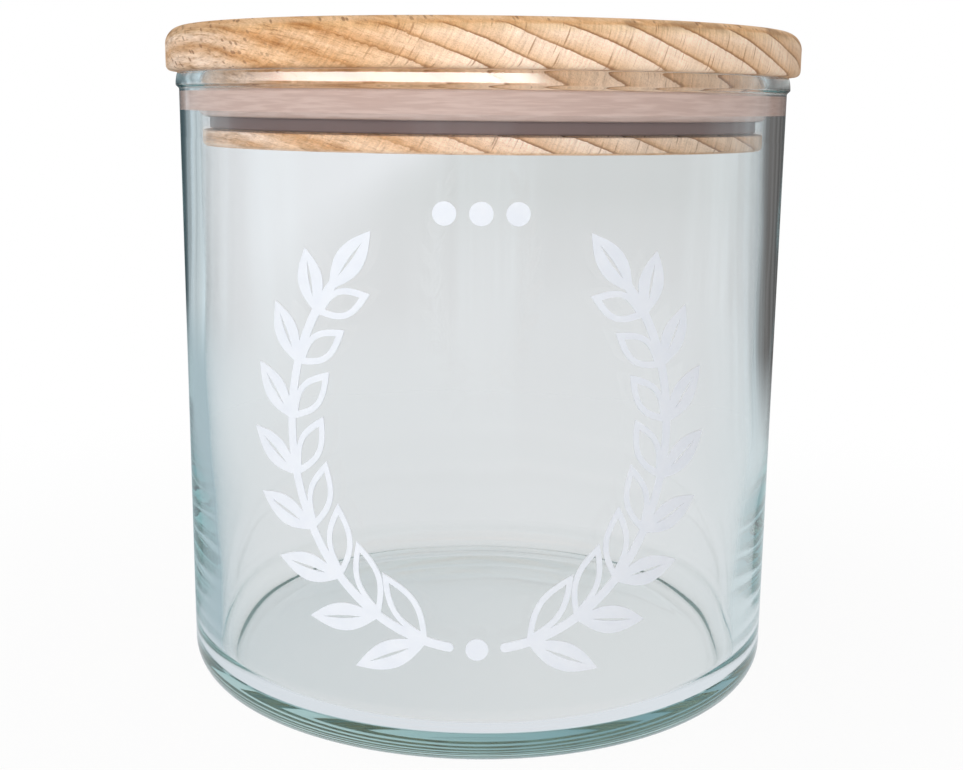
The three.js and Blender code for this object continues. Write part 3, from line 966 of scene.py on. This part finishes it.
studioLook = {
    "floorRadius": 4.0,
    "floorSteps": 96,
    "floorDrop": 0.2 * mm,
    "floorColour": (0.86, 0.86, 0.86, 1),
    "floorGlow": 0.93,                    # near the object, where the floor keeps its shadow
    "light": 0.43,                        # even light on the object
    "through": (0.86, 0.855, 0.86, 1),    # white, as it is seen through the glass
    "farThrough": (0.78, 0.785, 0.78, 1),
    "leftThrough": (1.0, 1.0, 1.02, 1),
    "leftCard": (0.085, 0.125, 0.14, 1),  # dark cards round the set, which the edges of the glass mirror
    "rightCard": (0.15, 0.142, 0.138, 1),
    "behindCard": (0.3, 0.4, 0.43, 1),    # what darkens those behind the object more
    "gap": (0.55, 0.63, 0.66, 1),         # the paler gaps between the cards
    "gapTurn": 128,                       # degrees from the front to the left, to the middle of a gap
    "pale": (0.78, 0.8, 0.81, 1),         # what the outer face of the glass mirrors instead
    "leftFloor": (0.42, 0.52, 0.56, 1),   # the floor round the object, as the glass mirrors it
    "rightFloor": (0.66, 0.72, 0.74, 1),
    "underFloor": (0.8, 0.81, 0.85, 1),
    "leftAbove": (0.3, 0.4, 0.43, 1),     # over the cards
    "rightAbove": (0.66, 0.68, 0.67, 1),
    "window": 17.0,                       # strip of window light in front, mirrored by the outer face only
    "lampAim": (0, 0, 90 * mm),
    # where each change starts and ends
    "glowReach": (0.06, 0.25),            # metres from the object
    "floorFar": (0.4, 1.6),
    "floorUnder": (0.058, 0.075),
    "cardReach": (0.32, 0.6),
    "cardsNearer": 0.18,                  # metres, on the right
    "floorLeft": (0.03, 0.25),            # metres to the left
    "skyFar": (0.05, 0.4),                # sine of the height
    "skyLeft": (0.1, 0.45),
    "cardTop": (0.0, 0.06),
    "windowFoot": (0.06, 0.12),
    "windowTop": (0.85, 0.95),
    "windowLeft": (-1.9, -0.9),           # bearings from the front, in radians
    "windowRight": (0.2, 0.45),
    "paleLeft": (math.radians(-148), math.radians(-125)),
    "paleRight": (math.radians(105), math.radians(135)),
    "behindTurn": (2.75, 3.0),
}


def viewRays(tree):
    ray = addNode(tree, "ShaderNodeLightPath")
    through = ray.outputs["Is Transmission Ray"]
    seen = maths(tree, "MAXIMUM", ray.outputs["Is Camera Ray"], through)
    seen = maths(tree, "MAXIMUM", seen, ray.outputs["Is Glossy Ray"])
    mirrored = maths(tree, "GREATER_THAN", ray.outputs["Glossy Depth"], 0.5)
    outside = maths(tree, "LESS_THAN", ray.outputs["Transmission Depth"], 0.5)
    return seen, mirrored, outside, through


def paleWhite(tree, through, far, left):
    # white, but a little greyer through the glass: most of all far off, least to the left
    grey = mixColours(tree, far, studioLook["through"], studioLook["farThrough"])
    grey = mixColours(tree, left, grey, studioLook["leftThrough"])
    return mixColours(tree, through, (1, 1, 1, 1), grey)


def cardColours(tree, east, north, outside):
    # three uneven dark cards with paler gaps between them, by their bearing from the object
    bearing = maths(tree, "ARCTAN2", east, product(tree, north, -1.0))
    fromGap = maths(tree, "ADD", bearing, math.radians(studioLook["gapTurn"]))
    gaps = smoothRange(tree, maths(tree, "COSINE", product(tree, fromGap, 3.0)), 0.35, 0.8)
    rightSide = smoothRange(tree, maths(tree, "SINE", bearing), -0.35, 0.35)
    card = mixColours(tree, rightSide, studioLook["leftCard"], studioLook["rightCard"])
    colour = mixColours(tree, gaps, card, studioLook["gap"])
    roundSet = addNode(tree, "ShaderNodeCombineXYZ", {"X": bearing}).outputs[0]
    uneven = colourRamp(tree, noise(tree, roundSet, 9), [
        (0.3, (0.33, 0.35, 0.36, 1)), (0.5, (1, 1, 1, 1)), (0.7, (1.5, 1.55, 1.6, 1))])
    colour = tinted(tree, colour, uneven)
    behind = smoothRange(tree, maths(tree, "ABSOLUTE", bearing), *studioLook["behindTurn"])
    colour = mixColours(tree, behind, colour, tinted(tree, colour, studioLook["behindCard"]))
    pale = between(tree, bearing, studioLook["paleLeft"], studioLook["paleRight"])
    colour = mixColours(tree, product(tree, pale, outside), colour, studioLook["pale"])
    return bearing, rightSide, colour


def addFloor():
    floor = addDisc("studio_floor", studioLook["floorRadius"], studioLook["floorSteps"],
                    (0, 0, -studioLook["floorDrop"]))
    material, tree = newMaterial("studio_floor")
    place = addNode(tree, "ShaderNodeTexCoord").outputs["Object"]
    east, north = addNode(tree, "ShaderNodeSeparateXYZ", {"Vector": place}).outputs[:2]
    away = vectorMaths(tree, "LENGTH", place)
    seen, mirrored, outside, through = viewRays(tree)
    rightSide, cards = cardColours(tree, east, north, outside)[1:]
    white = paleWhite(tree, through, smoothRange(tree, away, *studioLook["floorFar"]),
                      smoothRange(tree, product(tree, east, -1.0), *studioLook["floorLeft"]))
    nearFloor = mixColours(tree, rightSide, studioLook["leftFloor"], studioLook["rightFloor"])
    nearFloor = mixColours(tree, smoothRange(tree, away, *studioLook["floorUnder"]),
                           studioLook["underFloor"], nearFloor)
    cardAway = maths(tree, "ADD", away, product(tree, rightSide, studioLook["cardsNearer"]))
    cards = mixColours(tree, smoothRange(tree, cardAway, *studioLook["cardReach"]), nearFloor, cards)
    glow = smoothRange(tree, away, *studioLook["glowReach"], studioLook["floorGlow"], 1.0)
    diffuse = addNode(tree, "ShaderNodeBsdfDiffuse", {"Color": studioLook["floorColour"]})
    bright = addNode(tree, "ShaderNodeEmission", {"Color": white, "Strength": 1.0})
    mirror = addNode(tree, "ShaderNodeEmission", {"Color": cards, "Strength": 1.0})
    pale = addNode(tree, "ShaderNodeMixShader", {0: glow, 1: diffuse.outputs[0], 2: bright.outputs[0]})
    viewed = addNode(tree, "ShaderNodeMixShader", {0: mirrored, 1: pale.outputs[0], 2: mirror.outputs[0]})
    mix = addNode(tree, "ShaderNodeMixShader", {0: seen, 1: diffuse.outputs[0], 2: viewed.outputs[0]})
    addNode(tree, "ShaderNodeOutputMaterial", {"Surface": mix.outputs[0]})
    floor.data.materials.append(material)
    print("floor:", studioLook["floorRadius"], "m out from the object")


def lightWorld():
    world = bpy.data.worlds.new("studio")
    bpy.context.scene.world = world
    world.use_nodes = True
    tree = world.node_tree
    tree.nodes.clear()
    direction = addNode(tree, "ShaderNodeTexCoord").outputs["Generated"]
    east, north, height = addNode(tree, "ShaderNodeSeparateXYZ", {"Vector": direction}).outputs
    seen, mirrored, outside, through = viewRays(tree)
    bearing, rightSide, cards = cardColours(tree, east, north, outside)
    white = paleWhite(tree, through, smoothRange(tree, height, *studioLook["skyFar"], 1.0, 0.0),
                      smoothRange(tree, product(tree, east, -1.0), *studioLook["skyLeft"]))
    above = mixColours(tree, rightSide, studioLook["leftAbove"], studioLook["rightAbove"])
    cards = mixColours(tree, smoothRange(tree, height, *studioLook["cardTop"]), cards, above)
    # the window strip, in front and to the left, only where smooth glass mirrors it
    smooth = addNode(tree, "ShaderNodeLightPath").outputs["Is Singular Ray"]
    window = product(tree, between(tree, height, studioLook["windowFoot"], studioLook["windowTop"]),
                     between(tree, bearing, studioLook["windowLeft"], studioLook["windowRight"]),
                     outside, smooth, studioLook["window"])
    cards = mixColours(tree, 1.0, cards, window, "ADD")
    glassView = mixColours(tree, mirrored, white, cards)
    even = (studioLook["light"], studioLook["light"], studioLook["light"], 1)
    colour = mixColours(tree, seen, even, glassView)
    background = addNode(tree, "ShaderNodeBackground", {"Color": colour, "Strength": 1.0})
    addNode(tree, "ShaderNodeOutputWorld", {"Surface": background.outputs[0]})
    print("world: white all round, even light", studioLook["light"])


lampLook = {
    "front": {"place": (-0.08, -0.95, 0.32), "size": 0.5, "power": 3.2},
    "left": {"place": (-0.85, -0.4, 0.2), "size": 0.6, "power": 1.35},
    "top": {"place": (-0.15, -0.25, 0.95), "size": 0.7, "power": 2.5},
}


def addLamps():
    for name, lamp in lampLook.items():
        bpy.ops.object.select_all(action="DESELECT")
        bpy.ops.object.light_add(type="AREA", location=lamp["place"])
        light = bpy.context.object
        light.name = name + "_lamp"
        light.data.size = lamp["size"]
        light.data.energy = lamp["power"]
        aim = Vector(studioLook["lampAim"]) - light.location
        light.rotation_euler = aim.to_track_quat("-Z", "Y").to_euler()
        light.visible_glossy = False
        light.visible_transmission = False
    print("lamps:", ", ".join(lampLook))


addCamera()
buildJar()
buildLid()
buildSeal()
buildFilm()
addFloor()
lightWorld()
addLamps()

scene = bpy.context.scene
scene.view_settings.view_transform = "Standard"
scene.cycles.use_denoising = True
scene.cycles.max_bounces = 64   # light passes many faces of the thick glass
scene.cycles.transmission_bounces = 48
scene.cycles.glossy_bounces = 48
scene.cycles.caustics_reflective = False
scene.cycles.caustics_refractive = False
